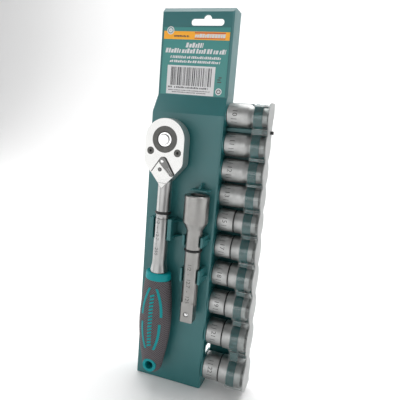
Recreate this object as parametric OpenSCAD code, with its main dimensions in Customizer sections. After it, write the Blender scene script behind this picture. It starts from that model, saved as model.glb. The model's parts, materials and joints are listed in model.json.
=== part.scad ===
// Socket wrench set on a hanging holder: a reversible ratchet, an extension bar and ten
// hexagon sockets under a clear slide-on cover.
// X runs to the right, -Y faces the user and +Z points up. The origin is the middle of the
// hang slot, on the header's front face. The modules are written in bench coordinates, from
// the holder's lower left front corner, and on_hook() moves them to the origin.

/* [Holder] */
// Width of the holder
holder_w = 72; // [72:0.5:76]
// Height of the holder
holder_h = 374.2; // [368:0.1:390]
// Depth from the main face to the back rim
holder_d = 28; // [28:0.5:32]
// Wall thickness of the moulding
wall = 1.8; // [1.4:0.1:2.2]
// Height where the main face ends and the slope starts
slope_z = 278; // [276:0.5:280]
// Height where the slope ends and the header starts
header_z = 294.5; // [293:0.5:297]
// How far the header lies behind the main face
header_y = 5.5; // [4:0.5:7]
// How far the header is narrower than the main face on the left
header_inset = 2.4; // [1:0.1:4]
// Bevel along the right front edges
edge_bevel = 1.5; // [0.5:0.1:1.7]

/* [Hang slot] */
// Middle of the hang slot from the left edge
slot_x = 47; // [40:0.5:50]
// Height of the middle of the hang slot
slot_z = 361; // [358:0.5:362]
// Length of the hang slot
slot_w = 32; // [28:0.5:34]
// Height of the hang slot
slot_h = 6; // [5:0.5:8]

/* [Sockets] */
// Widths across flats of the hexagon openings
sizes = [10, 11, 12, 13, 15, 17, 18, 19, 21, 22];
// Height of each socket's axis
socket_z = [280, 253, 228.5, 204.5, 179.5, 153, 124.5, 94, 61.5, 22.5];
// Diameter of the square end of the small sockets
drive_end_d = 22; // [21:0.5:22]
// Length of a socket
socket_l = 38; // [36:0.5:38]
// Extra length of the two largest sockets
large_extra = 2; // [0:0.5:2]
// Side of the square drive
drive = 12.7; // [12.7:0.1:12.7]

/* [Ratchet] */
// Height of the ratchet head's middle
head_z = 253; // [252:0.5:254]
// Distance of the ratchet's axis from the left edge
ratchet_x = 24; // [24:0.5:26]
// Radius of the ratchet head
head_r = 19.3; // [19:0.1:20]
// Thickness of the ratchet head
head_t = 17; // [16.5:0.1:17.5]
// Lean of the ratchet in its clip, in degrees
lean = 0.4; // [0:0.1:0.4]

/* [Extension] */
// Length of the extension bar
bar_l = 125; // [125:0.5:126]
// Distance of the bar's axis from the left edge
bar_x = 57.5; // [57:0.1:57.5]
// Diameter of the bar
bar_d = 15.2; // [14.6:0.1:15.4]

/* [Hidden] */
$fn = 64;

// the running gap between pieces that slide past each other
gap = 0.3;
last = len(sizes) - 1;
socket_x = holder_w + 2;
socket_y = 11.8;
axis_y = -12.5;
bar_y = -13.4;
bar_top = 204.5;
drive_hole_r = 11;

// radius of a socket's two ends
function hex_r(i) = (sizes[i] + 7) / 2;
function drive_r(i) = max(drive_end_d / 2, hex_r(i) - 0.6);
function widest(i) = max(hex_r(i), drive_r(i));
function length_of(i) = socket_l + (i > last - 2 ? large_extra : 0);

module on_hook() translate([-slot_x, -header_y, -slot_z]) children();

// an outline drawn as (y, z), pulled along +X
module along_x(x, length) translate([x, 0, 0]) rotate([90, 0, 90]) linear_extrude(length) children();

// an outline drawn as (x, z), pulled from y_front to y_back
module along_y(y_front, y_back)
  translate([0, y_back, 0]) rotate([90, 0, 0]) linear_extrude(y_back - y_front) children();

// ---- holder ----

// the holder seen from the side
module side_outline(front, end) polygon([
  [front, end], [front, slope_z], [header_y + front, header_z],
  [header_y + front, holder_h - end - 4], [header_y + front + 4, holder_h - end],
  [holder_d + front, holder_h - end], [holder_d + front, end]]);

// the holder seen from the front
module front_outline(inset) polygon([
  [inset, inset], [holder_w - inset, inset], [holder_w - inset, holder_h - inset],
  [header_inset + inset, holder_h - inset], [header_inset + inset, header_z], [inset, slope_z]]);

module edge_cut(y, z, height)
  translate([holder_w, y, z + height / 2]) rotate(45)
    cube([edge_bevel * sqrt(2), edge_bevel * sqrt(2), height], center = true);

module hang_slot() {
  r = slot_h / 2;
  along_y(header_y - 1, header_y + wall + 1) {
    translate([slot_x - slot_w / 2 + r, slot_z - r]) square([slot_w - slot_h, slot_h]);
    for (side = [-1, 1]) translate([slot_x + side * (slot_w / 2 - r), slot_z]) circle(r);
    translate([slot_x, slot_z + 2.5]) circle(4);
  }
}

module holder_panel() color("darkslategray") difference() {
  intersection() {
    along_x(0, holder_w) side_outline(0, 0);
    along_y(0, holder_d) front_outline(0);
  }
  intersection() {
    along_x(0, holder_w) side_outline(wall, wall);
    along_y(0, holder_d + wall) front_outline(wall);
  }
  edge_cut(0, -1, slope_z + 1);
  edge_cut(header_y, header_z, holder_h);
  hang_slot();
  along_y(-1, wall + 1) translate([ratchet_x, head_z]) circle(drive_hole_r);
  translate([holder_w - wall - 1, 10.5, 32]) cube([wall + 2, holder_d, 11]);
}

// the printed card stuck on the header
module header_label() color("mediumaquamarine")
  translate([4.6, header_y - 0.4, header_z + 0.9]) cube([65, 0.4, 61.1]);

// a round boss and a square peg behind every socket
module socket_pegs() color("darkslategray") for (i = [0:last])
  translate([holder_w, socket_y, socket_z[i]]) {
    rotate([0, 90, 0]) cylinder(r = drive_r(i) - 0.6, h = 1.6);
    translate([1.6, -6, -6]) cube([11, 12, 12]);
  }

arm_z0 = socket_z[1] + drive_end_d / 2 + 0.6;
arm_z1 = socket_z[0] - drive_end_d / 2 - 0.6;
frame_end = 112;
plate_y = holder_d - 1.4;

// a wall behind the sockets, with an arm forward between the first two
module socket_frame() color("darkslategray") {
  low = socket_z[last] - widest(last) - 1.1;
  high = socket_z[0] + widest(0) + 1.1;
  translate([holder_w, plate_y, low]) cube([frame_end - holder_w, 1.4, high - low]);
  translate([holder_w, 14, arm_z0]) cube([frame_end - holder_w, plate_y - 13, arm_z1 - arm_z0]);
}

// the row of sockets seen from the side, grown by a margin, with square corners at the back
module row_outline(grow, front_y, back_y) {
  for (i = [0:last]) translate([socket_y, socket_z[i]]) circle(widest(i) + grow);
  low = socket_z[last];
  high = socket_z[0];
  translate([front_y, low]) square([back_y - front_y, high - low]);
  translate([socket_y, low - widest(last) - grow])
    square([back_y - socket_y, high - low + widest(last) + widest(0) + 2 * grow]);
}

// the scalloped strap that holds the sockets' hexagon ends
module front_strap() color("darkslategray") along_x(socket_x + 25.5, 8) difference() {
  row_outline(1.1, 5.6, plate_y);
  row_outline(gap, 6.4, plate_y + 1);
}

cover_x = socket_x + 24.5;
// how far the cover's end wall leans in towards the top, in degrees
cover_slant = 0.85;
stud_z = (arm_z0 + arm_z1) / 2;

// everything beyond the cover's slanting end
module past_end(x_low) translate([x_low, -50, 0]) rotate([0, -cover_slant, 0]) translate([0, 0, -50])
  cube([60, 120, 450]);

// the dips between the sockets along the back of the cover's end wall
module back_dips() along_x(frame_end + 1, 10) difference() {
  translate([socket_y + 7.5, socket_z[last]]) square([20, socket_z[0] - socket_z[last]]);
  for (i = [0:last]) translate([socket_y, socket_z[i]]) circle(widest(i) + 2.4);
}

stud_y = 16;

// the clear cover, open to the left and to the back
module cover() color([0.8, 0.85, 0.85, 0.35]) difference() {
  along_x(cover_x, 60) row_outline(2.4, 4.4, holder_d);
  past_end(117.6);
  difference() {
    along_x(cover_x - 1, 60) row_outline(1.4, 5.3, holder_d + 1);
    past_end(116.6);
  }
  back_dips();
  translate([100, stud_y, stud_z]) rotate([0, 90, 0]) cylinder(r = 1.9, h = 30);
}

// the stud on the arm's end that comes out through the cover's end wall
module cover_stud() color("black") translate([frame_end, stud_y, stud_z]) rotate([0, 90, 0]) {
  cylinder(r = 1.6, h = 4.6);
}

// ---- sockets ----

// a socket seen in section: distance from the axis, distance from the square end
module socket_section(i) {
  hr = hex_r(i);
  dr = drive_r(i);
  end = length_of(i);
  grooved = hr >= dr;
  neck = grooved ? dr - 0.7 : hr;
  polygon([[0, 0], [dr - 0.8, 0], [dr, 0.8], [dr, grooved ? 15.4 : 20], [neck, grooved ? 15.9 : 24],
    [neck, grooved ? 16.6 : 25], [hr, grooved ? 17.1 : 25.5], [hr, end - 0.8], [hr - 0.8, end], [0, end]]);
}

module socket(i) color("silver") translate([socket_x, socket_y, socket_z[i]]) rotate([0, 90, 0]) {
  af_r = (sizes[i] + 0.2) / sqrt(3);
  end = length_of(i);
  difference() {
    rotate_extrude() socket_section(i);
    translate([-drive / 2 - 0.05, -drive / 2 - 0.05, -1]) cube([drive + 0.1, drive + 0.1, 17]);
    translate([0, 0, 1]) cylinder(r = min(5, sizes[i] * 0.45), h = end);
    translate([0, 0, end - 15]) cylinder(r = af_r, h = 16, $fn = 6);
    translate([0, 0, end - 1]) cylinder(r1 = af_r - 0.6, r2 = af_r + 0.6, h = 1.2);
    translate([0, 0, 8]) rotate([-90, 0, 0]) cylinder(r = 2.2, h = 40);
  }
}

// ---- ratchet ----

module at_head() translate([ratchet_x, axis_y, head_z]) rotate([0, lean, 0]) children();

half_t = head_t / 2;
plate_t = 1.6;
plate_y0 = -half_t;
plate_y1 = -half_t + plate_t;
gear_y0 = plate_y1 + 0.4;
gear_y1 = gear_y0 + 9;
gear_r = 14;
ring_r = 12.1;
hub_r = 10.2;
lever_z = -20;
neck_z = -41;
shank_r = 6.6;
screw_x = 13.5;
screw_z = -11.4;
screw_hole = 1.7;

// two circles on the centre line and the straight flanks between them
module flanks(r1, z1, r2, z2) {
  nz = (r2 - r1) / (z1 - z2);
  nx = 0.999 * sqrt(1 - nz * nz);
  translate([0, z1]) circle(r1);
  translate([0, z2]) circle(r2);
  polygon([[-r1 * nx, z1 + r1 * nz], [r1 * nx, z1 + r1 * nz],
    [r2 * nx, z2 + r2 * nz], [-r2 * nx, z2 + r2 * nz]]);
}

// corners along an arc
function arc(x, z, r, from, to, steps) =
  [for (i = [0:steps]) let (a = from + (to - from) * i / steps) [x + r * cos(a), z + r * sin(a)]];

// the shape of the head: a round top, upright sides, round shoulders and a pointed end
module pear(shoulder_r = 8, shoulder_z = -20, tip_z = -46) {
  x = head_r - shoulder_r;
  turn = atan2(shoulder_z - tip_z, x) + acos(shoulder_r / norm([x, shoulder_z - tip_z])) - 180;
  polygon(concat(arc(0, 0, head_r, 0, 180, 36), arc(-x, shoulder_z, shoulder_r, 180, 180 - turn, 6),
    [[0, tip_z]], arc(x, shoulder_z, shoulder_r, turn, 0, 6)));
}

module screw_places() for (side = [-1, 1]) translate([side * screw_x, 0, screw_z]) children();

module y_cylinder(r, y0, y1) translate([0, y0, 0]) rotate([-90, 0, 0]) cylinder(r = r, h = y1 - y0);

// the room for the pawl, below the gear
module pawl_room() along_y(gear_y0 - 0.4, gear_y1 + gap)
  translate([0, lever_z + 2]) square([25, 17], center = true);

module ratchet_body() color("gainsboro") at_head() {
  difference() {
    union() {
      intersection() {
        along_y(plate_y1, half_t) pear();
        union() {
          translate([-30, -30, -36]) cube([60, 60, 80]);
          translate([0, 0, -47.5]) cylinder(r1 = shank_r, r2 = 19, h = 16);
        }
      }
      intersection() {
        along_y(plate_y0 + 0.1, half_t) pear();
        translate([0, 0, -47.5]) cylinder(r1 = shank_r, r2 = 11.8, h = 6.7);
      }
      translate([0, 0, -76]) cylinder(r = shank_r, h = 40);
      translate([0, 0, -120]) cylinder(r = 7, h = 44);
      translate([0, 0, -130]) cylinder(r1 = 8.7, r2 = 7, h = 11);
      translate([0, 0, -205]) cylinder(r = 7.5, h = 75);
    }
    y_cylinder(gear_r + 0.4, plate_y1 - 1, gear_y1 + gap);
    y_cylinder(hub_r + 0.1, 0, half_t + 1);
    pawl_room();
    translate([0, 0, lever_z]) y_cylinder(2.6, 0, half_t - 2);
    translate([0, 0, lever_z - 18]) cylinder(r = 2.1, h = 14);
    screw_places() y_cylinder(screw_hole, plate_y1 - 1, half_t - 3);
    translate([0, 0, -70]) rotate_extrude() translate([shank_r + 0.05, 0]) circle(1.4);
    translate([-3.2, 0, -28.2]) y_cylinder(1.2, plate_y1 - 1, plate_y1 + 4);
  }
}

// the polished cover plate with the recess that the lever swings in
module head_plate() color("white") at_head() difference() {
  intersection() {
    along_y(plate_y0, plate_y1) pear();
    translate([-30, -30, -40.5]) cube([60, 60, 80]);
  }
  y_cylinder(ring_r + 0.1, plate_y0 - 1, plate_y1 + 1);
  screw_places() y_cylinder(3.5, plate_y0 - 1, plate_y0 + 1);
  screw_places() y_cylinder(screw_hole, plate_y0 - 1, plate_y1 + 1);
  translate([0, 0, lever_z]) y_cylinder(2.6, plate_y0 - 1, plate_y1 + 1);
  translate([-3.2, 0, -28.2]) y_cylinder(1.2, plate_y0 - 1, plate_y1 + 1);
  along_y(plate_y0 - 1, plate_y0 + 0.7) {
    translate([0, lever_z]) circle(4.2);
    translate([0, lever_z]) polygon([[-3.5, 2.3], [3.5, 2.3], [19.6, -22.5], [-19.6, -22.5]]);
  }
}

module head_screws() color("dimgray") at_head() screw_places() difference() {
  union() {
    y_cylinder(3.3, plate_y0 + 0.1, plate_y0 + 1);
    y_cylinder(screw_hole, plate_y0 + 1, half_t - 5);
  }
  y_cylinder(1.3, plate_y0 - 1, plate_y0 + 2.5, $fn = 6);
}

module plate_dowel() color("silver") at_head() translate([-3.2, 0, -28.2])
  y_cylinder(1.2, plate_y0 + 0.4, plate_y1 + 4);

// the toothed ring's outline
module gear_outline(teeth = 36) polygon([for (i = [0:2 * teeth - 1])
  let (r = i % 2 == 0 ? gear_r : gear_r - 1.1, a = 180 * i / teeth) [r * cos(a), r * sin(a)]]);

square_y1 = half_t + 12;
ball_y = half_t + 6;
ball_r = 2.4;
ball_out = drive / 2 + 0.9 - ball_r;

module drive_gear() color("dimgray") at_head() difference() {
  union() {
    y_cylinder(ring_r, plate_y0 - 0.3, gear_y0);
    along_y(gear_y0, gear_y1) gear_outline();
    y_cylinder(hub_r, gear_y1, half_t + 0.5);
    intersection() {
      translate([-drive / 2, 0, -drive / 2]) cube([drive, square_y1, drive]);
      y_cylinder(8.3, 0, square_y1);
    }
  }
  y_cylinder(7.2, plate_y0 - 1, plate_y0 + 6);
  y_cylinder(2.5, plate_y0, half_t + 10);
  translate([0, ball_y, 0]) rotate([0, 90, 0]) cylinder(r = ball_r + 0.1, h = 10);
}

// the quick-release button: a cap, and a pin with a neck that lets the ball in
module release_button() color("white") at_head() rotate([-90, 0, 0]) rotate_extrude()
  polygon([[0, plate_y0 - 3], [5.8, plate_y0 - 3], [6.8, plate_y0 - 2.2], [6.8, plate_y0 + 1.4],
    [2.2, plate_y0 + 1.4], [2.2, ball_y - 4.9], [1.3, ball_y - 4.3], [1.3, ball_y - 0.7],
    [2.2, ball_y - 0.1], [2.2, ball_y + 1], [0, ball_y + 1]]);

module drive_ball() color("silver") at_head() translate([ball_out, ball_y, 0]) sphere(r = ball_r);

// a coil spring along +Z as one swept tube
module coil(r, wire, height, turns) {
  sides = 8;
  steps = turns * 16;
  function ring(i) = let (a = 360 * turns * i / steps, z = wire / 2 + (height - wire) * i / steps)
    [for (j = [0:sides - 1]) let (b = 360 * j / sides, q = r + wire / 2 * cos(b))
      [q * cos(a), q * sin(a), z + wire / 2 * sin(b)]];
  points = [for (i = [0:steps]) each ring(i)];
  walls = [for (i = [0:steps - 1], j = [0:sides - 1]) let (k = (j + 1) % sides)
    [i * sides + j, (i + 1) * sides + j, (i + 1) * sides + k, i * sides + k]];
  first = [for (j = [0:sides - 1]) j];
  end = [for (j = [sides - 1:-1:0]) steps * sides + j];
  polyhedron(points, concat(walls, [first, end]));
}

module button_spring() color("lightgray") at_head()
  translate([0, plate_y0 + 1.5, 0]) rotate([-90, 0, 0]) coil(3.6, 0.6, 4.4, 4);

// the lever that swaps the ratchet's direction: rest is its right-hand stop
module reversing_lever() color("dimgray") at_head() translate([0, 0, lever_z]) {
  rotate([0, -39, 0]) along_y(plate_y0 - 1.6, plate_y0 + 0.4) flanks(3.8, 0, 2.2, -14.6);
  y_cylinder(2.4, plate_y0 + 0.4, half_t - 2.2);
}

// the rocking pawl on the lever's shaft
module pawl() color("gray") at_head() difference() {
  along_y(gear_y0 + 0.2, gear_y1 - 0.2) difference() {
    translate([0, lever_z + 0.5]) square([18, 11], center = true);
    circle(gear_r + 1.4);
    translate([0, lever_z]) circle(2.7);
    for (side = [-1, 1]) translate([side * 9, lever_z - 5]) rotate(45) square(5, center = true);
  }
}

module pawl_plunger() color("silver") at_head() translate([0, 0, lever_z - 9.3]) cylinder(r = 1.9, h = 3.4);

module pawl_spring() color("lightgray") at_head() translate([0, 0, lever_z - 17.9])
  coil(1.5, 0.4, 8.5, 8);

// a rubber ring round a bar
module ring_seal(r, wire) rotate_extrude() translate([r, 0]) circle(wire);

module shank_ring() color("black") at_head() translate([0, 0, -70]) ring_seal(shank_r, 1.3);

// one oval section of the grip: its corners at height z, for a half width of r
function oval(r, z, flat = 0.72, sides = 36) =
  [for (j = [0:sides - 1]) let (a = 360 * j / sides) [r * cos(a), r * flat * sin(a), z]];

// a closed skin over a stack of sections, the highest first
module skin(sections) {
  sides = len(sections[0]);
  steps = len(sections) - 1;
  walls = [for (i = [0:steps - 1], j = [0:sides - 1]) let (k = (j + 1) % sides)
    [i * sides + j, i * sides + k, (i + 1) * sides + k, (i + 1) * sides + j]];
  top = [for (j = [sides - 1:-1:0]) j];
  bottom = [for (j = [0:sides - 1]) steps * sides + j];
  polyhedron([for (section = sections) each section], concat(walls, [top, bottom]));
}

// half widths and heights down the grip: shoulder, belly and round tail
function grip_line(grow) = concat(
  [for (t = [0:0.1:0.95]) [16.8 + grow - 3.4 * pow(1 - t, 1.6), -137.6 - 43.4 * t]],
  [for (t = [0:0.1:0.95]) [16.8 + grow - 5.6 * pow(t, 1.8), -181 - 45 * t]],
  [for (a = [0:12:84]) [(11.2 + grow) * cos(a), -227 - (12.6 + grow) * sin(a)]]);

module grip_form(grow) skin([for (p = grip_line(grow)) oval(p[0], p[1])]);

module grip_collar() color("darkcyan") at_head() difference() {
  skin([for (p = [[12.1, -129.5], [12.9, -130.6], [13.1, -136.4], [12.6, -137.6]]) oval(p[0], p[1], 0.8)]);
  translate([0, 0, -150]) cylinder(r = 8.71, h = 40);
}

module grip() color("dimgray") at_head() difference() {
  grip_form(0);
  translate([0, 0, -205]) cylinder(r = 7.51, h = 80);
  translate([0, 0, -228.6]) y_cylinder(7.21, -20, 20);
}

// the arcs of the inlays, seen from the front: two on the right and two on the left
module inlay_arcs() for (side = [0, 1], arc = [[-61.9, -174.7, -173.5], [-62.8, -183.7, -209.6]])
  mirror([side, 0]) intersection() {
    translate([arc[0], arc[1]]) difference() {
      circle(73.2, $fn = 180);
      circle(70.8, $fn = 180);
    }
    translate([0, arc[2]]) square([14, 28.6]);
  }

// the four curved inlays on the front of the grip
module grip_inlays() color("darkcyan") at_head() difference() {
  intersection() {
    grip_form(0.35);
    along_y(-30, 0) inlay_arcs();
  }
  grip_form(0);
}

module hang_eyelet() color("darkcyan") at_head() translate([0, 0, -228.6]) difference() {
  y_cylinder(7.2, -8.2, 8.2);
  y_cylinder(4.2, -9, 9);
}

// ---- extension bar ----

module at_bar() translate([bar_x, bar_y, bar_top]) children();

bar_ball_z = 8 - bar_l;
bar_r = bar_d / 2;

module extension_bar() color("silver") at_bar() difference() {
  union() {
    rotate_extrude() polygon([[0, 0], [11, 0], [11.9, -0.9], [11.9, -25.5], [bar_r, -33.5],
      [bar_r, 17 - bar_l], [0, 14 - bar_l]]);
    intersection() {
      translate([-drive / 2, -drive / 2, -bar_l]) cube([drive, drive, 20]);
      translate([0, 0, -bar_l]) cylinder(r = 8.3, h = 20);
    }
  }
  translate([-drive / 2 - 0.05, -drive / 2 - 0.05, -16]) cube([drive + 0.1, drive + 0.1, 20]);
  translate([0, 0, -8]) y_cylinder(2.2, 0, 20);
  translate([0, 0, -53]) rotate_extrude() translate([bar_r + 0.05, 0]) circle(1.3);
  translate([0, 0, bar_ball_z]) y_cylinder(ball_r + 0.1, -10, 3.5);
}

module bar_ring() color("black") at_bar() translate([0, 0, -53]) ring_seal(bar_r, 1.2);

module bar_ball() color("white") at_bar() translate([0, -ball_out, bar_ball_z]) sphere(r = ball_r);

module bar_ball_spring() color("lightgray") at_bar() translate([0, ball_r - ball_out + 0.3, bar_ball_z])
  rotate([-90, 0, 0]) coil(1.6, 0.4, 5.6, 5);

// ---- clips on the main face ----

// two arms and a saddle around a bar, on the holder's face
module clip(x, z, height, arm, arm_t, seat_r, depth) {
  for (side = [-1, 1]) translate([x + side * (seat_r + gap + arm_t / 2), -arm / 2, z + height / 2])
    cube([arm_t, arm, height], center = true);
  translate([x - seat_r - gap, -depth, z]) cube([2 * (seat_r + gap), depth, height]);
}

// the wedge that props an arm up from the face
module gusset(x0, x1, reach, z, t) translate([0, 0, z]) linear_extrude(t)
  polygon([[x0, 0], [x0, -reach], [x1, 0]]);

module ratchet_clip() color("darkslategray") {
  x = ratchet_x - sin(lean) * (head_z - 167.5);
  clip(x, 157, 21, 17, 4, 7, 5.1);
  gusset(x + 11.3, x + 17, 13, 159, 2);
  gusset(x + 11.3, x + 17, 13, 174, 2);
}

module bar_clips() color("darkslategray") for (z = [119, 155.4]) {
  clip(bar_x, z, z > 150 ? 10 : 14, 18, 2.2, bar_r, 5.4);
  gusset(bar_x + bar_r + 2.5, bar_x + bar_r + 4.8, 14, z + 4, 2);
}

// a ledge over the bar's upper end, with a rib above it
module bar_stop() color("darkslategray") {
  translate([bar_x - 8, -13.5, bar_top + 3]) cube([17, 13.5, 1.6]);
  translate([bar_x - 1, 0, bar_top + 4.6]) rotate([90, 0, 90]) linear_extrude(2)
    polygon([[0, 0], [-11, 0], [-4, 5.5], [0, 5.5]]);
}

on_hook() holder_panel();
on_hook() header_label();
on_hook() socket_pegs();
on_hook() socket_frame();
on_hook() front_strap();
on_hook() ratchet_clip();
on_hook() bar_clips();
on_hook() bar_stop();
on_hook() cover();
on_hook() cover_stud();
for (i = [0:last]) on_hook() socket(i);
on_hook() ratchet_body();
on_hook() head_plate();
on_hook() head_screws();
on_hook() plate_dowel();
on_hook() drive_gear();
on_hook() release_button();
on_hook() button_spring();
on_hook() drive_ball();
on_hook() reversing_lever();
on_hook() pawl();
on_hook() pawl_plunger();
on_hook() pawl_spring();
on_hook() shank_ring();
on_hook() grip_collar();
on_hook() grip();
on_hook() grip_inlays();
on_hook() hang_eyelet();
on_hook() extension_bar();
on_hook() bar_ring();
on_hook() bar_ball();
on_hook() bar_ball_spring();
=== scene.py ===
"""Socket wrench set on its hanging holder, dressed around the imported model."""
import json
import math
import random

import bmesh
import bpy
from mathutils import Matrix, Quaternion, Vector


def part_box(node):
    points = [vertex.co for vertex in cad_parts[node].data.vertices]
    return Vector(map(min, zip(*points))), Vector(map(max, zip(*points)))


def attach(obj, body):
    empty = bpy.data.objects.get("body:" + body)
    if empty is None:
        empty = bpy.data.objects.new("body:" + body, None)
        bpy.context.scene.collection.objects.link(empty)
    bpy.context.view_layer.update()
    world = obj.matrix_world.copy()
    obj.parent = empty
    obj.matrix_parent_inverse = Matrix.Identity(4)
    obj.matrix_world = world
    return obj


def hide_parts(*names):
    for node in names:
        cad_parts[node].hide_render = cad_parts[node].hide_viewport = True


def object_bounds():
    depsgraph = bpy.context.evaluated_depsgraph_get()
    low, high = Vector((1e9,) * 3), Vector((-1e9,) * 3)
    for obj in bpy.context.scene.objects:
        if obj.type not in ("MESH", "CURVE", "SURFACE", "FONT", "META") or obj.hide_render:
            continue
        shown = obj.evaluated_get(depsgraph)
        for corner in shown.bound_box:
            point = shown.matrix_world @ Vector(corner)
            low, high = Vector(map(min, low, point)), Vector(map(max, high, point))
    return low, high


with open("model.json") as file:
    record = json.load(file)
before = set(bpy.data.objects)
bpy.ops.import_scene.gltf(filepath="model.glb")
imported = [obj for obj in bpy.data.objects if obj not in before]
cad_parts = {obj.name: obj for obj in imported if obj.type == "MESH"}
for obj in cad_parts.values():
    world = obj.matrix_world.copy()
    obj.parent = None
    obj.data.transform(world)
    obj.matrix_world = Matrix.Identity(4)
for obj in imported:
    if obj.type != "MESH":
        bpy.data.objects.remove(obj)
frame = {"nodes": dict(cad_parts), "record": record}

cad_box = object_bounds()
MM = 0.001


# ---- Camera ----
# A lens a little longer than normal, close to the set and to its right, looking slightly down
# and leaning a few degrees to one side.
camera_data = bpy.data.cameras.new("camera")
camera_data.sensor_width = 36.0
camera_data.lens = 37.66
camera = bpy.data.objects.new("camera", camera_data)
camera.location = (0.1347, -0.3816, -0.0899)
sight = Vector((-0.3122, 0.9324, -0.1823))
lean = Quaternion((0, 0, 1), math.radians(4.75))
camera.rotation_euler = (sight.to_track_quat("-Z", "Y") @ lean).to_euler()
bpy.context.scene.collection.objects.link(camera)
bpy.context.scene.camera = camera
bpy.context.scene.view_settings.view_transform = "Standard"


# ---- Studio ----
# Large soft boxes round the set, with a gap behind the camera, so that the chromed tools show
# broad pale reflections with a darker band between them. The surround is an even white.
studio_middle = (cad_box[0] + cad_box[1]) / 2


def soft_box(name, place, width, height, watts):
    data = bpy.data.lights.new(name, "AREA")
    data.shape = "RECTANGLE"
    data.size = width
    data.size_y = height
    data.energy = watts
    lamp = bpy.data.objects.new(name, data)
    lamp.location = place
    lamp.rotation_euler = (studio_middle - Vector(place)).to_track_quat("-Z", "Y").to_euler()
    bpy.context.scene.collection.objects.link(lamp)


soft_box("front_box", (-0.30, -1.25, -0.22), 1.5, 0.8, 4.6)
soft_box("left_box", (-1.30, -0.10, 0.05), 1.3, 1.2, 7.5)
soft_box("right_box", (1.30, -0.15, 0.05), 1.3, 1.2, 4.6)
soft_box("top_box", (0.0, 0.60, 1.20), 2.4, 1.4, 31)

surround = bpy.data.worlds.new("studio_surround")
surround.use_nodes = True
surround.node_tree.nodes["Background"].inputs["Color"].default_value = (1.0, 1.0, 1.0, 1)
surround.node_tree.nodes["Background"].inputs["Strength"].default_value = 0.36
bpy.context.scene.world = surround


# ---- Floor ----
# A plain pale sweep of card under and behind the set, curved up into the background.
def shader_of(material):
    return material.node_tree.nodes["Principled BSDF"]


def new_finish(name, colour, roughness, metallic=0.0, **sockets):
    """A material whose even values sit on the shader's own sockets."""
    material = bpy.data.materials.new(name)
    material.use_nodes = True
    shader = shader_of(material)
    shader.inputs["Base Color"].default_value = (*colour, 1)
    shader.inputs["Roughness"].default_value = roughness
    shader.inputs["Metallic"].default_value = metallic
    for socket, value in sockets.items():
        shader.inputs[socket.replace("_", " ")].default_value = value
    return material


def object_from(name, bm, *materials):
    """A mesh object made from a finished bmesh."""
    mesh = bpy.data.meshes.new(name)
    bm.to_mesh(mesh)
    bm.free()
    for material in materials:
        mesh.materials.append(material)
    piece = bpy.data.objects.new(name, mesh)
    bpy.context.scene.collection.objects.link(piece)
    return piece


def floor_sweep():
    floor_z = cad_box[0].z - 0.5 * MM
    bend, half_width = 0.6, 3.0
    profile = [(-3.0, floor_z), (0.8, floor_z)]
    for step in range(1, 13):
        turn = math.radians(90 * step / 12)
        profile.append((0.8 + bend * math.sin(turn), floor_z + bend * (1 - math.cos(turn))))
    profile.append((0.8 + bend, floor_z + 3.0))
    bm = bmesh.new()
    rows = [[bm.verts.new((x, y, z)) for x in (-half_width, half_width)] for y, z in profile]
    for (a, b), (c, d) in zip(rows, rows[1:]):
        bm.faces.new((a, b, d, c)).smooth = True
    card = new_finish("pale_card", (0.94, 0.94, 0.94), 0.9)
    object_from("floor", bm, card)


floor_sweep()


# ---- Holder panel ----
# The open-backed body of the holder: one injection moulding in dark teal polypropylene, with
# a spark-eroded grain on its faces and small radii on every edge.
body_of = {}
for body_name, members in frame["record"]["behaviour"]["bodies"].items():
    for member in members:
        body_of[member] = body_name


def add_node(tree, kind, **settings):
    node = tree.nodes.new(kind)
    for key, value in settings.items():
        if key in node.inputs:
            node.inputs[key].default_value = value
        else:
            setattr(node, key, value)
    return node


def noise_in(material, scale, detail=3.0, stretch=(1, 1, 1)):
    """Noise in the object's own space. Scale is in grains per metre."""
    tree = material.node_tree
    place = add_node(tree, "ShaderNodeTexCoord")
    fit = add_node(tree, "ShaderNodeMapping", Scale=stretch)
    noise = add_node(tree, "ShaderNodeTexNoise", Scale=scale, Detail=detail)
    tree.links.new(place.outputs["Object"], fit.inputs["Vector"])
    tree.links.new(fit.outputs["Vector"], noise.inputs["Vector"])
    return noise.outputs["Fac"]


def vary(material, socket, factor, low, high):
    """Lets a number on the shader run from low to high with a factor."""
    tree = material.node_tree
    spread = add_node(tree, "ShaderNodeMapRange")
    spread.inputs["From Min"].default_value = 0.3
    spread.inputs["From Max"].default_value = 0.7
    spread.inputs["To Min"].default_value = low
    spread.inputs["To Max"].default_value = high
    tree.links.new(factor, spread.inputs["Value"])
    tree.links.new(spread.outputs["Result"], shader_of(material).inputs[socket])


def tint(material, factor, dark, light):
    """Lets the colour run between two shades with a factor."""
    tree = material.node_tree
    ramp = add_node(tree, "ShaderNodeValToRGB")
    ramp.color_ramp.elements[0].position = 0.35
    ramp.color_ramp.elements[1].position = 0.65
    ramp.color_ramp.elements[0].color = (*dark, 1)
    ramp.color_ramp.elements[1].color = (*light, 1)
    tree.links.new(factor, ramp.inputs["Fac"])
    tree.links.new(ramp.outputs["Color"], shader_of(material).inputs["Base Color"])


def relief(material, *layers):
    """Stacks bumps: each layer is (height, depth in metres)."""
    tree = material.node_tree
    before = None
    for height, depth in layers:
        bump = add_node(tree, "ShaderNodeBump", Strength=1.0, Distance=depth)
        tree.links.new(height, bump.inputs["Height"])
        if before is not None:
            tree.links.new(before, bump.inputs["Normal"])
        before = bump.outputs["Normal"]
    tree.links.new(before, shader_of(material).inputs["Normal"])


def holder_finish():
    material = new_finish("teal_holder", (0.018, 0.142, 0.148), 0.36, Specular_IOR_Level=0.7)
    tint(material, noise_in(material, 18), (0.016, 0.134, 0.140), (0.021, 0.150, 0.156))
    vary(material, "Roughness", noise_in(material, 60, 4), 0.31, 0.40)
    relief(material, (noise_in(material, 2600, 2), 0.02 * MM), (noise_in(material, 90, 2), 0.05 * MM))
    return material


teal_holder = holder_finish()


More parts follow.
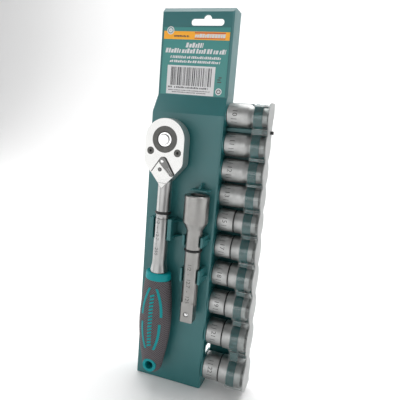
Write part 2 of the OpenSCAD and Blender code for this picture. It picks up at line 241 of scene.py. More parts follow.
def stand_for(piece, node, *others):
    """The piece takes the node's place and body."""
    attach(piece, body_of[node])
    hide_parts(node, *others)
    return piece


def softened(node, width, material, angle=30, segments=2):
    """A copy of a CAD node with its sharp edges rounded, which then stands for it."""
    mesh = frame["nodes"][node].data.copy()
    mesh.materials.clear()
    mesh.materials.append(material)
    bm = bmesh.new()
    bm.from_mesh(mesh)
    bmesh.ops.remove_doubles(bm, verts=bm.verts, dist=0.002 * MM)
    bmesh.ops.dissolve_limit(bm, angle_limit=math.radians(0.5), verts=bm.verts, edges=bm.edges)
    for face in bm.faces:
        face.smooth = True
        face.material_index = 0
    bm.to_mesh(mesh)
    bm.free()
    piece = bpy.data.objects.new(node + "_finished", mesh)
    bpy.context.scene.collection.objects.link(piece)
    bevel = piece.modifiers.new("edge_radius", "BEVEL")
    bevel.width = width * MM
    bevel.segments = segments
    bevel.limit_method = "ANGLE"
    bevel.angle_limit = math.radians(angle)
    bevel.miter_outer = "MITER_ARC"
    normals = piece.modifiers.new("even_shading", "WEIGHTED_NORMAL")
    normals.keep_sharp = True
    return stand_for(piece, node)


softened("holder_panel", 0.5, teal_holder, segments=3)


# ---- Pegs, wall, strap, clips and stop ----
# Moulded with the holder in the same teal plastic: bosses with square pegs for the sockets,
# the wall behind them, the scalloped strap in front, and the clips for the two bars.
for moulded, radius in (("socket_pegs", 0.3), ("socket_frame", 0.3), ("front_strap", 0.15),
                        ("ratchet_clip", 0.5), ("bar_clips", 0.4), ("bar_stop", 0.35)):
    softened(moulded, radius, teal_holder)


# ---- Header card ----
# A coated printed card glued to the header. Its marks are plain slanted blocks in white, an
# orange band and a striped panel, with no lettering.
def card_finish(name, colour, roughness=0.35):
    material = new_finish(name, colour, roughness, Coat_Weight=0.3, Coat_Roughness=0.15)
    vary(material, "Roughness", noise_in(material, 150), roughness - 0.05, roughness + 0.08)
    relief(material, (noise_in(material, 900, 2), 0.008 * MM))
    return material


card_green = card_finish("card_green", (0.043, 0.250, 0.232))
card_orange = card_finish("card_orange", (0.98, 0.43, 0.022))
card_red = card_finish("card_red", (0.62, 0.13, 0.05))
card_white = card_finish("card_white", (0.70, 0.70, 0.71))
card_black = card_finish("card_black", (0.05, 0.05, 0.055))
softened("header_label", 0.1, card_green)

card_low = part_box("header_label")[0]
PRINT_TILT = 0.010


def printed(name, material, areas, lift):
    """Thin printed areas on the card, each (x, z, width, height, slant) in mm from its corner."""
    bm = bmesh.new()
    for x, z, width, height, slant in areas:
        corners = []
        for depth in (lift + 0.02, lift - 0.02):
            for across, up in ((0, 0), (width, 0), (width, 1), (0, 1)):
                sag = PRINT_TILT * (x + across - 32.5)
                corners.append(bm.verts.new((card_low.x + (x + across + slant * up) * MM,
                                             card_low.y - depth * MM,
                                             card_low.z + (z + height * up - sag) * MM)))
        front, back = corners[:4], corners[4:]
        bm.faces.new(front)
        bm.faces.new(back[::-1])
        for step in range(4):
            after = (step + 1) % 4
            bm.faces.new((front[step], back[step], back[after], front[after]))
    bmesh.ops.recalc_face_normals(bm, faces=bm.faces)
    piece = object_from(name, bm, material)
    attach(piece, "holder")
    return piece


def blocks(x, z, end, height, widths, space, slant, seed):
    """A row of slanted blocks of mixed widths, which stands for a line of print."""
    chance = random.Random(seed)
    row = []
    while x < end:
        width = min(chance.choice(widths), end - x)
        tall = height * chance.choice((1.0, 1.0, 0.78))
        row.append((x, z, width, tall, slant))
        x += width + (space if chance.random() < 0.85 else 2.2 * space)
    return row


def disc(name, material, x, z, radius, hole, lift):
    """A round printed spot, or a ring when it has a hole."""
    bm = bmesh.new()
    sides = 40
    rings = []
    for reach in (radius, hole):
        for depth in (lift - 0.02, lift + 0.02):
            ring = []
            for step in range(sides):
                turn = 2 * math.pi * step / sides
                ring.append(bm.verts.new((card_low.x + (x + reach * math.cos(turn)) * MM,
                                          card_low.y - depth * MM,
                                          card_low.z + (z + reach * math.sin(turn)) * MM)))
            rings.append(ring)
    outer_back, outer_front, inner_back, inner_front = rings
    for a, b in ((outer_back, outer_front), (outer_front, inner_front),
                 (inner_front, inner_back), (inner_back, outer_back)):
        for step in range(sides):
            after = (step + 1) % sides
            bm.faces.new((a[step], a[after], b[after], b[step]))
    bmesh.ops.recalc_face_normals(bm, faces=bm.faces)
    piece = object_from(name, bm, material)
    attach(piece, "holder")


def stripes(x, z, end, height):
    """Upright stripes of seeded random widths."""
    chance = random.Random(7)
    row = []
    while x < end - 1.2:
        width = chance.choice((0.35, 0.35, 0.7, 1.05))
        row.append((x, z, width, height, 0))
        x += width + chance.choice((0.4, 0.4, 0.8, 1.1))
    return row


printed("card_band", card_orange, [(0.15, 50.1, 64.7, 7.2, 0)], 0.02)
printed("card_band_stripes", card_red, [(31.0, 55.6, 30.0, 1.2, 0), (31.0, 50.9, 30.0, 0.9, 0)], 0.06)
printed("card_band_marks", card_white, blocks(31.3, 52.1, 60.6, 3.2, (1.6, 2.0, 2.4), 0.4, 0.5, 3), 0.10)
printed("card_band_print", card_black, blocks(10.5, 52.2, 25.5, 1.6, (0.8, 1.1, 1.3), 0.4, 0.2, 4), 0.06)
disc("card_emblem", card_white, 6.7, 58.1, 3.6, 0.4, 0.06)
disc("card_emblem_ring", card_green, 6.7, 58.1, 2.7, 2.0, 0.10)
white_print = blocks(22.9, 43.0, 39.8, 4.3, (1.6, 2.0, 2.4), 0.7, 0.9, 5)
white_print += blocks(2.6, 37.9, 62.0, 4.2, (1.5, 1.9, 2.3), 0.65, 0.9, 6)
white_print += blocks(8.0, 33.1, 58.6, 2.3, (1.0, 1.3, 1.6), 0.55, 0.5, 8)
white_print += blocks(7.6, 29.3, 57.4, 2.2, (1.1, 1.5, 1.8), 0.5, 0.5, 9)
printed("card_lines", card_white, white_print, 0.04)
printed("card_panel", card_white, [(5.9, 0.3, 48.0, 26.4, 0)], 0.02)
printed("card_stripes", card_black, stripes(9.8, 8.4, 51.5, 16.8), 0.06)
small_print = blocks(7.6, 5.9, 12.0, 1.6, (0.9, 1.1), 0.5, 0, 10)
small_print += blocks(14.0, 5.9, 48.0, 1.6, (0.9, 1.1), 0.5, 0, 11)
small_print += blocks(8.0, 3.6, 50.0, 0.8, (0.7, 0.9), 0.4, 0, 12)
small_print += blocks(12.0, 1.8, 46.0, 0.8, (0.7, 0.9), 0.4, 0, 13)
printed("card_small_print", card_black, small_print, 0.06)
disc("card_spot", card_white, 58.6, 4.5, 3.1, 0.3, 0.04)
disc("card_spot_ring", card_black, 58.6, 4.5, 2.1, 1.3, 0.08)
icon_bars = [(56.6, 12.8, 4.0, 1.0, 0), (56.6, 14.9, 3.0, 1.0, 0), (57.6, 16.8, 3.0, 1.0, 0)]
printed("card_icon", card_black, icon_bars, 0.04)


# ---- Clear cover ----
# A thin scalloped cover injection moulded in clear polystyrene, slid on from the right. Its
# walls are clear with a little haze from handling, and its end wall is textured to a frost.
def clear_finish():
    material = new_finish("clear_plastic", (0.86, 0.89, 0.885), 0.06, Transmission_Weight=1.0, IOR=1.49)
    vary(material, "Roughness", noise_in(material, 40), 0.03, 0.12)
    relief(material, (noise_in(material, 55, 2), 0.05 * MM))
    return material


def frost_finish():
    material = new_finish("frosted_plastic", (0.56, 0.58, 0.57), 0.5, Transmission_Weight=0.45, IOR=1.49)
    tint(material, noise_in(material, 60, 4), (0.52, 0.54, 0.53), (0.62, 0.63, 0.625))
    relief(material, (noise_in(material, 2200, 2), 0.03 * MM))
    return material


cover = softened("cover", 0.2, clear_finish())
cover.data.materials.append(frost_finish())
FROSTED = 1
END_DEPTH = 9 * MM
cover.modifiers["edge_radius"].material = FROSTED
cover_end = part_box("cover")[1].x
for polygon in cover.data.polygons:
    if polygon.center.x > cover_end - END_DEPTH and abs(polygon.normal.x) > 0.9:
        polygon.material_index = FROSTED


# ---- Cover stud ----
# A small black plastic stud pushed through the cover's end wall into the arm's end.
def black_finish():
    material = new_finish("black_plastic", (0.015, 0.015, 0.016), 0.4)
    vary(material, "Roughness", noise_in(material, 400), 0.32, 0.5)
    relief(material, (noise_in(material, 1800, 2), 0.01 * MM))
    return material


softened("cover_stud", 0.4, black_finish())


# ---- Sockets ----
# Ten turned sockets of chrome vanadium steel, shot-peened and satin chromed. Each has a square
# drive recess at one end, a hexagon at the other and its size stamped round the drive end. Its
# waist groove and figures are coloured dark as painted shade.
def satin_chrome_finish():
    material = new_finish("satin_chrome", (0.46, 0.465, 0.46), 0.42, 1.0)
    tint(material, noise_in(material, 180, 4), (0.42, 0.425, 0.42), (0.50, 0.505, 0.50))
    vary(material, "Roughness", noise_in(material, 120, 4), 0.40, 0.48)
    relief(material, (noise_in(material, 2600, 1, (1, 0.02, 0.02)), 0.0012 * MM),
           (noise_in(material, 1800, 2), 0.0016 * MM))
    return material


# A dark metal finish for the stamped figures and the sockets' waist groove: painted shade of their
# recesses.
def recess_finish():
    material = new_finish("stamped_recess", (0.10, 0.10, 0.10), 0.6, 1.0)
    vary(material, "Roughness", noise_in(material, 900), 0.5, 0.7)
    relief(material, (noise_in(material, 2500, 2), 0.01 * MM))
    return material


satin_chrome = satin_chrome_finish()
stamped_recess = recess_finish()
SIDES = 96


def regular(reach, corners, turn):
    """How far a regular outline reaches at an angle, for a reach to its flats."""
    step = 2 * math.pi / corners
    return reach / math.cos((turn + step / 2) % step - step / 2)


def bore_shape(reach, corners, turn_to_flat):
    return [regular(reach, corners, 2 * math.pi * k / SIDES - turn_to_flat) for k in range(SIDES)]


def lathed(bm, start, centre_y, centre_z, rings):
    """A closed skin over rings: each is (distance along X in mm, reach or 96 reaches in mm)."""
    rows = []
    for along, reach in rings:
        reaches = reach if isinstance(reach, list) else [reach] * SIDES
        rows.append([bm.verts.new((start + along * MM,
                                   centre_y + reaches[k] * MM * math.sin(2 * math.pi * k / SIDES),
                                   centre_z + reaches[k] * MM * math.cos(2 * math.pi * k / SIDES)))
                     for k in range(SIDES)])
    for row, after in zip(rows, rows[1:] + rows[:1]):
        for k in range(SIDES):
            following = (k + 1) % SIDES
            bm.faces.new((row[k], row[following], after[following], after[k])).smooth = True


def cut_by(piece, cutter_bm, operation="DIFFERENCE"):
    """Cuts a shape out of a piece for good, or keeps only what both fill."""
    cutter = object_from("cutter", cutter_bm)
    cutting = piece.modifiers.new("cut", "BOOLEAN")
    cutting.operation = operation
    cutting.solver = "EXACT"
    cutting.object = cutter
    bpy.context.view_layer.update()
    whole = piece.evaluated_get(bpy.context.evaluated_depsgraph_get())
    result = bpy.data.meshes.new_from_object(whole)
    piece.modifiers.clear()
    piece.data = result
    bpy.data.objects.remove(cutter)


def stamped(name, text, height, wrap, body):
    """Stamped figures as thin dark flats, laid on a surface by a function from flat mm to a place; their
    dark colour is painted shade of the stamping.
    """
    curve = bpy.data.curves.new(name, "FONT")
    curve.body = text
    curve.size = height / 0.7
    curve.align_x = "CENTER"
    curve.align_y = "CENTER"
    curve.resolution_u = 3
    flat = bpy.data.objects.new(name + "_flat", curve)
    bpy.context.scene.collection.objects.link(flat)
    bpy.context.view_layer.update()
    mesh = bpy.data.meshes.new_from_object(flat.evaluated_get(bpy.context.evaluated_depsgraph_get()))
    bpy.data.objects.remove(flat)
    bm = bmesh.new()
    bm.from_mesh(mesh)
    bpy.data.meshes.remove(mesh)
    bmesh.ops.subdivide_edges(bm, edges=[e for e in bm.edges if e.calc_length() > 0.8], cuts=2)
    for vertex in bm.verts:
        vertex.co = wrap(vertex.co.x, vertex.co.y)
    bmesh.ops.solidify(bm, geom=bm.faces[:], thickness=0.04 * MM)
    bmesh.ops.recalc_face_normals(bm, faces=bm.faces)
    piece = object_from(name, bm, stamped_recess)
    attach(piece, body)


def socket_piece(node):
    size = int(node[7:])
    low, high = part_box(node)
    length = (high.x - low.x) / MM
    axis_y, axis_z = (low.y + high.y) / 2, (low.z + high.z) / 2
    nose = (size + 7) / 2
    shank = max(11.0, nose - 0.6)
    if nose >= shank:
        waist = [(15.2, shank), (15.5, shank - 0.2), (15.9, shank - 0.7), (16.6, shank - 0.7),
                 (17.0, nose - 0.2), (17.3, nose)]
    else:
        drop = shank - nose
        waist = [(19.6, shank), (20.5, shank - 0.08 * drop), (23.5, nose + 0.08 * drop), (24.4, nose)]
    flats = (size + 0.2) / 2
    hexagon = bore_shape(flats, 6, math.radians(30))
    mouth = bore_shape(flats + 0.5, 6, math.radians(30))
    square = bore_shape(6.4, 4, 0)
    square_mouth = bore_shape(6.7, 4, 0)
    hole = min(5.0, size * 0.45)
    rings = [(0, shank - 1.0), (0.12, shank - 0.55), (0.4, shank - 0.2), (0.9, shank), *waist,
             (length - 0.9, nose), (length - 0.4, nose - 0.2), (length - 0.12, nose - 0.5),
             (length, nose - 0.9),
             (length, mouth), (length - 0.8, hexagon), (length - 15, hexagon), (length - 15, hole),
             (16, hole), (16, square), (0.4, square), (0, square_mouth)]
    bm = bmesh.new()
    lathed(bm, low.x, axis_y, axis_z, rings)
    bmesh.ops.recalc_face_normals(bm, faces=bm.faces)
    # The waist groove's faces take the dark finish, as painted shade in the groove.
    groove_start, groove_end, groove_floor = 15.55, 16.95, shank - 1.2
    for face in bm.faces:
        place = face.calc_center_median()
        reach = math.hypot(place.y - axis_y, place.z - axis_z) / MM
        groove_shade_mask = groove_start < (place.x - low.x) / MM < groove_end and reach > groove_floor
        if nose >= shank and groove_shade_mask:
            face.material_index = 1
    piece = object_from(node + "_finished", bm, satin_chrome, stamped_recess)
    detent = bmesh.new()
    detent_r = 2.2 * MM
    bmesh.ops.create_cone(detent, cap_ends=True, segments=32, radius1=detent_r, radius2=detent_r,
                          depth=12 * MM)
    bmesh.ops.transform(detent, verts=detent.verts, matrix=Matrix.Translation(
        (low.x + 8 * MM, axis_y + 11 * MM, axis_z)) @ Matrix.Rotation(math.pi / 2, 4, "X"))
    cut_by(piece, detent)
    piece.data.set_sharp_from_angle(angle=math.radians(38))
    stand_for(piece, node)

    def round_drive_end(u, v):
        turn = math.radians(-12) + u / shank
        reach = (shank + 0.01) * MM
        return (low.x + (7.6 + v) * MM, axis_y - reach * math.cos(turn), axis_z - reach * math.sin(turn))

    stamped(node + "_figure", str(size), 4.6, round_drive_end, body_of[node])
    for side in (-1, 1):
        def beside(u, v, side=side):
            return round_drive_end(u + side * 7.4, v)
        mark = node + ("_mark_high" if side < 0 else "_mark_low")
        stamped(mark, "| |", 4.2, beside, body_of[node])


for node in list(frame["nodes"]):
    if node.startswith("socket_") and node[7:].isdigit():
        socket_piece(node)


# ---- Ratchet body, plate and screws ----
# A drop-forged head and shank of chrome vanadium steel in satin chrome, with a polished cover
# plate held by two dark hexagon-recess screws.
def shank_finish():
    material = new_finish("satin_shank", (0.40, 0.40, 0.395), 0.3, 1.0)
    tint(material, noise_in(material, 90, 3), (0.38, 0.38, 0.375), (0.42, 0.42, 0.415))
    vary(material, "Roughness", noise_in(material, 150, 3), 0.28, 0.34)
    relief(material, (noise_in(material, 400, 1), 0.0012 * MM))
    return material


def polished_finish():
    material = new_finish("polished_chrome", (0.60, 0.60, 0.59), 0.22, 1.0)
    vary(material, "Roughness", noise_in(material, 90, 4), 0.19, 0.26)
    relief(material, (noise_in(material, 60, 2), 0.012 * MM))
    return material


def dark_steel_finish():
    material = new_finish("dark_steel", (0.105, 0.105, 0.10), 0.38, 1.0)
    vary(material, "Roughness", noise_in(material, 300, 4), 0.3, 0.48)
    relief(material, (noise_in(material, 1600, 3), 0.008 * MM))
    return material


polished_chrome = polished_finish()
dark_steel = dark_steel_finish()
satin_shank = shank_finish()


def forged_finish():
    material = new_finish("forged_satin", (0.62, 0.62, 0.61), 0.44, 1.0)
    vary(material, "Roughness", noise_in(material, 120, 3), 0.40, 0.48)
    relief(material, (noise_in(material, 700, 2), 0.003 * MM))
    return material


forged_satin = forged_finish()

# The ratchet leans a little in its clip, so its own pieces are laid out from the head's middle.
gear_low, gear_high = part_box("drive_gear")
ring_low, ring_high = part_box("shank_ring")
head_middle = Vector(((gear_low.x + gear_high.x) / 2, (ring_low.y + ring_high.y) / 2,
                      (gear_low.z + gear_high.z) / 2))
down = Vector(((ring_low.x + ring_high.x) / 2 - head_middle.x, 0,
               (ring_low.z + ring_high.z) / 2 - head_middle.z)).normalized()
HEAD_R, PLATE_FRONT, PLATE_BACK, HEAD_BACK, LEVER_Z = 19.3, -8.5, -6.9, 8.5, -20.0
SCREW_X, SCREW_Z = 13.5, -11.4
DOWEL_X, DOWEL_Z, DOWEL_R = -3.2, -28.2, 1.2


def on_ratchet(x, y, z):
    """The place of a point given in mm from the head's middle."""
    return head_middle + MM * Vector((-down.z * x - down.x * z, y, down.x * x - down.z * z))


def stacked(bm, rows):
    """A closed skin over rows of points, with a flat cap on the first and the last row."""
    rings = [[bm.verts.new(point) for point in row] for row in rows]
    for ring, after in zip(rings, rings[1:]):
        for k in range(len(ring)):
            following = (k + 1) % len(ring)
            bm.faces.new((ring[k], ring[following], after[following], after[k])).smooth = True
    bm.faces.new(rings[0][::-1])
    bm.faces.new(rings[-1])
    bmesh.ops.recalc_face_normals(bm, faces=bm.faces)


def turned(profile, axis="Z", x=0.0, z=0.0, sides=96):
    """Rows round an axis for (reach, place along the axis) pairs, in mm."""
    rows = []
    for reach, along in profile:
        row = []
        for k in range(sides):
            turn = 2 * math.pi * k / sides
            across, deep = reach * math.cos(turn), reach * math.sin(turn)
            row.append((x + across, deep, z + along) if axis == "Z" else (x + across, along, z + deep))
        rows.append(row)
    return rows


def skin_of(rows):
    bm = bmesh.new()
    stacked(bm, rows)
    return bm


def pear_row(inset, y, tip_z=-46.0, shoulder=8.0, shoulder_z=-20.0):
    """The head's outline, drawn in by an inset, at one depth."""
    across = HEAD_R - shoulder
    lean_in = math.atan2(shoulder_z - tip_z, across) + math.acos(
        shoulder / math.hypot(across, shoulder_z - tip_z)) - math.pi
    row = [((HEAD_R - inset) * math.cos(a), y, (HEAD_R - inset) * math.sin(a))
           for a in (math.pi * k / 48 for k in range(49))]
    left = [((-across - (shoulder - inset) * math.cos(a), y, shoulder_z + (shoulder - inset) * math.sin(a)))
            for a in (lean_in * k / 8 for k in range(9))]
    tip = [(0, y, tip_z + inset / math.sin(-lean_in))]
    return row + left + tip + [(-px, py, pz) for px, py, pz in left[::-1]]


def to_ratchet(piece, body="ratchet"):
    """Moves a mesh laid out in mm from the head's middle to its place, and shades it."""
    for vertex in piece.data.vertices:
        vertex.co = on_ratchet(*vertex.co)
    for polygon in piece.data.polygons:
        polygon.use_smooth = True
    piece.data.set_sharp_from_angle(angle=math.radians(32))
    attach(piece, body)
    return piece


def box_shape(low, high):
    bm = bmesh.new()
    stacked(bm, [[(low[0], y, low[2]), (high[0], y, low[2]), (high[0], y, high[2]), (low[0], y, high[2])]
                 for y in (low[1], high[1])])
    return bm


def ratchet_head():
    """The forged head: an upright wall, a wide radius round the back, and a cone under it."""
    rounding = 3.4
    rows = [pear_row(0.05, PLATE_BACK), pear_row(0, PLATE_BACK + 4), pear_row(0, HEAD_BACK - rounding)]
    for step in range(1, 9):
        turn = math.radians(90 * step / 8)
        rows.append(pear_row(rounding * (1 - math.cos(turn)), HEAD_BACK - rounding * (1 - math.sin(turn))))
    head = object_from("ratchet_head", skin_of(rows), forged_satin)
    cut_by(head, skin_of(turned([(6.6, -47.5), (19, -31.5), (40, -31.4), (40, 60)])), "INTERSECT")
    for cutter in (turned([(14.4, -8), (14.4, 2.8)], "Y"), turned([(10.3, 0), (10.3, 9.5)], "Y"),
                   turned([(2.6, 0), (2.6, 6.5)], "Y", 0, LEVER_Z), turned([(2.1, -38), (2.1, -24)]),
                   turned([(1.7, -8), (1.7, 5.5)], "Y", SCREW_X, SCREW_Z),
                   turned([(1.7, -8), (1.7, 5.5)], "Y", -SCREW_X, SCREW_Z),
                   turned([(DOWEL_R, -8), (DOWEL_R, -2.9)], "Y", DOWEL_X, DOWEL_Z)):
        cut_by(head, skin_of(cutter))
    cut_by(head, box_shape((-12.5, -7.5, -26.5), (12.5, 2.8, -9.5)))
    stand_for(to_ratchet(head), "ratchet_body")


def ratchet_shank():
    """The turned shank with its ring groove, a small step and the flare into the grip."""
    groove = [(6.65 - 1.4 * math.sin(a), -70 + 1.4 * math.cos(a)) for a in
              (math.pi * k / 10 for k in range(11))]
    profile = [(6.6, -36), (6.6, -68.5), *groove, (6.6, -71.5), (6.6, -75.6), (6.85, -76.0), (7.0, -76.3),
               (7.0, -118.6), (7.05, -120.0), (7.3, -122.2), (7.75, -124.8), (8.3, -127.8), (8.7, -130),
               (8.7, -130.4), (7.5, -130.5), (7.5, -205)]
    shank = object_from("ratchet_shank", skin_of(turned(profile)), satin_shank)
    to_ratchet(shank)


def ratchet_tip():
    """The pointed end of the head's front, which runs on from the plate and fades into the cone."""
    rows = [pear_row(0.45, PLATE_FRONT + 0.1), pear_row(0.1, PLATE_FRONT + 0.35), pear_row(0, 0)]
    tip = object_from("ratchet_tip", skin_of(rows), polished_chrome)
    cut_by(tip, skin_of(turned([(6.6, -47.5), (11.8, -40.85), (11.6, -40.75)])), "INTERSECT")
    to_ratchet(tip)


def flat_piece(name, outline, front, back, material):
    """A thin flat piece with a given outline of (x, z) points."""
    piece = object_from(name, skin_of([[(x, y, z) for x, z in outline] for y in (front, back)]), material)
    to_ratchet(piece)


def recess_lines():
    """Thin dark flats along the lever's recess and round the dowel: painted shadow of the gap there."""
    front, back = PLATE_FRONT + 0.7 - 0.06, PLATE_FRONT + 0.7 + 0.02
    edge_share = 0.53
    far_x, far_z = 3.5 + 16.1 * edge_share - 0.05, -17.7 - 24.8 * edge_share
    near_x, near_z = 3.45, -17.75
    for name, side, wide in (("recess_line_left", -1, 0.55), ("recess_line_right", 1, 0.9)):
        outline = [(near_x * side, near_z), (far_x * side, far_z), ((far_x - wide * 1.2) * side, far_z),
                   ((near_x - wide * 0.9) * side, near_z - wide * 0.6)]
        flat_piece(name, outline, front, back, undercut)
    rim = []
    for reach, way in ((1.95, 1), (1.22, -1)):
        rim += [(DOWEL_X + reach * math.cos(way * a), DOWEL_Z + reach * math.sin(way * a))
                for a in (2 * math.pi * k / 32 for k in range(33))]
    flat_piece("dowel_rim", rim, front, back, undercut)


# A dark metal finish for the painted shadow flats in the lever's recess and round the dowel.
def undercut_finish():
    material = new_finish("undercut", (0.045, 0.045, 0.045), 0.55, 1.0)
    vary(material, "Roughness", noise_in(material, 900), 0.5, 0.65)
    relief(material, (noise_in(material, 1500, 2), 0.006 * MM))
    return material


undercut = undercut_finish()
ratchet_head()
ratchet_shank()
ratchet_tip()
recess_lines()
softened("head_plate", 0.35, polished_chrome, segments=3)
softened("head_screws", 0.15, dark_steel)


def along_shank(u, v):
    """Figures read up the shank, a little to the left of its front."""
    turn = math.radians(-14) + v / 7.0
    return on_ratchet(7.02 * math.sin(turn), -7.02 * math.cos(turn), -93 - u)


stamped("shank_figures", "1/2  -  12.7  -  250", 3.6, along_shank, "ratchet")


# ---- Ratchet works ----
# The toothed drive with its dark ring and square, the bright release button in its middle,
# the reversing lever, and the pawl, plunger and springs that sit inside the head.
def bright_finish():
    material = new_finish("bright_steel", (0.86, 0.86, 0.86), 0.08, 1.0)
    vary(material, "Roughness", noise_in(material, 200, 3), 0.05, 0.14)
    relief(material, (noise_in(material, 900, 2), 0.003 * MM))
    return material


bright_steel = bright_finish()
softened("drive_gear", 0.2, dark_steel)


def button_piece():
    """A nearly flat cap over a bright flange, on the pin that lets the ball in."""
    ball_y = HEAD_BACK + 6
    cap = [(4.7 * k / 6, PLATE_FRONT - 2.95 + 0.12 * (k / 6) ** 2) for k in range(1, 7)]
    profile = [*cap, (4.95, PLATE_FRONT - 2.7), (5.05, PLATE_FRONT - 2.45), (5.05, PLATE_FRONT - 0.2),
               (6.4, PLATE_FRONT - 0.1), (6.8, PLATE_FRONT + 0.25), (6.8, PLATE_FRONT + 1.4),
               (2.2, PLATE_FRONT + 1.4), (2.2, ball_y - 4.9), (1.3, ball_y - 4.3), (1.3, ball_y - 0.7),
               (2.2, ball_y - 0.1), (2.2, ball_y + 1)]
    button = object_from("release_cap", skin_of(turned(profile, "Y")), bright_steel)
    stand_for(to_ratchet(button, "button"), "release_button")


def lever_shape(x, y, z):
    """A point of the lever, given with its tip straight down, at its right-hand stop."""
    turn = math.radians(-39)
    return (x * math.cos(turn) + z * math.sin(turn), y,
            LEVER_Z - x * math.sin(turn) + z * math.cos(turn))


def lever_pieces():
    """The lever's low round hub, its raised thumb pad with three ribs, and its bright pivot."""
    softened("reversing_lever", 0.45, lever_steel)
    face = PLATE_FRONT - 1.6
    for number, (side, start, end) in enumerate(((-1, -8.3, -14.2), (0, -7.9, -15.0), (1, -8.3, -14.2))):
        rows = []
        for z, spread in ((start, 1.95), (end, 1.45)):
            middle = side * spread
            rows.append([lever_shape(middle + x, y, z) for x, y in
                         ((-0.5, face + 0.1), (0.5, face + 0.1), (0.5, face - 0.35), (0.3, face - 0.6),
                          (-0.3, face - 0.6), (-0.5, face - 0.35))])
        rib = object_from(f"lever_rib_{number}", skin_of(rows), rib_steel)
        to_ratchet(rib, "lever")
    dome = [(1.6 * math.sin(a), face - 0.55 * math.cos(a)) for a in (math.pi * k / 16 for k in range(1, 9))]
    pivot_rows = turned([*dome, (1.6, face + 0.3)], "Y", -0.4, LEVER_Z)
    pivot = object_from("lever_pivot", skin_of(pivot_rows), bright_steel)
    to_ratchet(pivot, "lever")


def cast_finish(name, shade, roughness):
    material = new_finish(name, (shade, shade, shade * 0.98), roughness, 1.0)
    vary(material, "Roughness", noise_in(material, 300, 4), roughness - 0.06, roughness + 0.06)
    relief(material, (noise_in(material, 1400, 3), 0.004 * MM))
    return material


lever_steel = cast_finish("lever_steel", 0.17, 0.34)
rib_steel = cast_finish("rib_steel", 0.36, 0.3)
button_piece()
lever_pieces()
softened("pawl", 0.3, dark_steel)


def dress(node, material):
    """A CAD node whose shape is right gets a better finish."""
    slots = frame["nodes"][node].data.materials
    slots.clear()
    slots.append(material)
    for polygon in frame["nodes"][node].data.polygons:
        polygon.material_index = 0


for node in ("drive_ball", "bar_ball"):
    dress(node, bright_steel)
dress("plate_dowel", lever_steel)
for node in ("pawl_plunger", "pawl_spring", "button_spring", "bar_ball_spring"):
    dress(node, satin_chrome)


# ---- Rubber rings ----
# Two black nitrile rings that sit in grooves round the shank and the bar.
def ring_finish():
    material = new_finish("ring_rubber", (0.012, 0.012, 0.012), 0.5)
    vary(material, "Roughness", noise_in(material, 500), 0.42, 0.6)
    relief(material, (noise_in(material, 2000, 2), 0.01 * MM))
    return material


ring_rubber = ring_finish()
dress("shank_ring", ring_rubber)
dress("bar_ring", ring_rubber)


# ---- Grip ----
# A two-part moulded handle: dark grey soft rubber over the steel, with a teal collar, teal
# inlays and a teal eyelet of harder plastic.
def grip_finish():
    material = new_finish("grip_rubber", (0.082, 0.073, 0.080), 0.75, Specular_IOR_Level=0.4)
    tree = material.node_tree
    place = add_node(tree, "ShaderNodeTexCoord")
    flat = add_node(tree, "ShaderNodeMapping", Scale=(1, 0, 1))
    turned_dots = add_node(tree, "ShaderNodeMapping", Rotation=(0, math.radians(45), 0))
    dots = add_node(tree, "ShaderNodeTexVoronoi", Scale=600, Randomness=0.0)
    tree.links.new(place.outputs["Object"], flat.inputs["Vector"])
    tree.links.new(flat.outputs["Vector"], turned_dots.inputs["Vector"])
    tree.links.new(turned_dots.outputs["Vector"], dots.inputs["Vector"])
    ramp = add_node(tree, "ShaderNodeValToRGB")
    ramp.color_ramp.elements[0].position = 0.15
    ramp.color_ramp.elements[1].position = 0.55
    ramp.color_ramp.elements[0].color = (0.045, 0.040, 0.045, 1)
    ramp.color_ramp.elements[1].color = (0.125, 0.112, 0.120, 1)
    tree.links.new(dots.outputs["Distance"], ramp.inputs["Fac"])
    tree.links.new(ramp.outputs["Color"], shader_of(material).inputs["Base Color"])
    vary(material, "Roughness", noise_in(material, 200), 0.68, 0.85)
    relief(material, (dots.outputs["Distance"], 0.25 * MM), (noise_in(material, 1400, 3), 0.02 * MM))
    return material


def teal_gloss_finish():
    material = new_finish("teal_gloss", (0.0, 0.26, 0.28), 0.42, Specular_IOR_Level=0.25)
    vary(material, "Roughness", noise_in(material, 200), 0.38, 0.48)
    relief(material, (noise_in(material, 600, 2), 0.01 * MM))
    return material


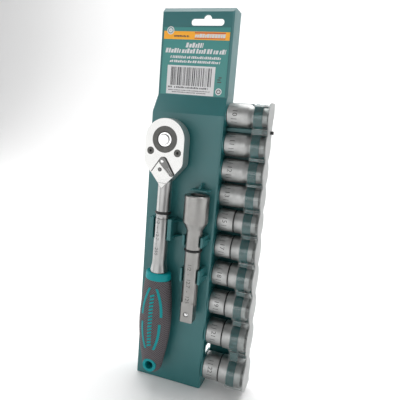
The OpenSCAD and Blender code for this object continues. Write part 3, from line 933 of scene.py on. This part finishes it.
grip_rubber = grip_finish()
teal_gloss = teal_gloss_finish()
softened("grip", 0.3, grip_rubber)
softened("grip_collar", 0.5, teal_gloss)
softened("grip_inlays", 0.1, teal_gloss)
softened("hang_eyelet", 0.5, teal_gloss)


def grip_half_width(z):
    if z > -181:
        t = (-137.6 - z) / 43.4
        return 16.8 - 3.4 * max(0.0, 1 - t) ** 1.6
    t = (-181 - z) / 45
    return 16.8 - 5.6 * t ** 1.8


def grip_rib(number, z):
    """One slanted rib of the raised row down the grip's middle."""
    rows = []
    for x in (-2.7, -1.8, -0.9, 0.0, 0.9, 1.8):
        lift = 0.30 if -2.7 < x < 1.8 else 0.1
        centre = z + 0.45 * (x + 0.45)
        depth = -0.72 * math.sqrt(grip_half_width(centre) ** 2 - x * x)
        rows.append([(x, depth + 0.3, centre - 1.2), (x, depth - lift, centre - 1.0),
                     (x, depth - lift, centre + 1.0), (x, depth + 0.3, centre + 1.2)])
    rib = object_from(f"grip_rib_{number}", skin_of(rows), teal_gloss)
    to_ratchet(rib)


for number in range(16):
    grip_rib(number, -152.5 - 3.5 * number)


# ---- Extension bar ----
# A turned and milled bar of chrome vanadium steel with a satin chromed skin.
def bar_finish():
    material = new_finish("bar_satin", (0.32, 0.315, 0.305), 0.34, 1.0)
    tint(material, noise_in(material, 90, 3), (0.30, 0.295, 0.285), (0.34, 0.335, 0.325))
    vary(material, "Roughness", noise_in(material, 160, 3), 0.29, 0.35)
    relief(material, (noise_in(material, 900, 2, (0.03, 0.03, 1)), 0.0008 * MM),
           (noise_in(material, 1500, 2), 0.0012 * MM))
    return material


softened("extension_bar", 0.3, bar_finish())

bar_low, bar_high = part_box("extension_bar")
bar_x = (bar_low.x + bar_high.x) / 2
bar_y = (bar_low.y + bar_high.y) / 2


def along_bar(u, v):
    """Figures read up the bar's front."""
    turn = v / 7.6
    reach = 7.62 * MM
    return Vector((bar_x + reach * math.sin(turn), bar_y - reach * math.cos(turn),
                   bar_high.z - (85 + u) * MM))


stamped("bar_figures", "1/2  -  12.7  -  125", 3.8, along_bar, body_of["extension_bar"])
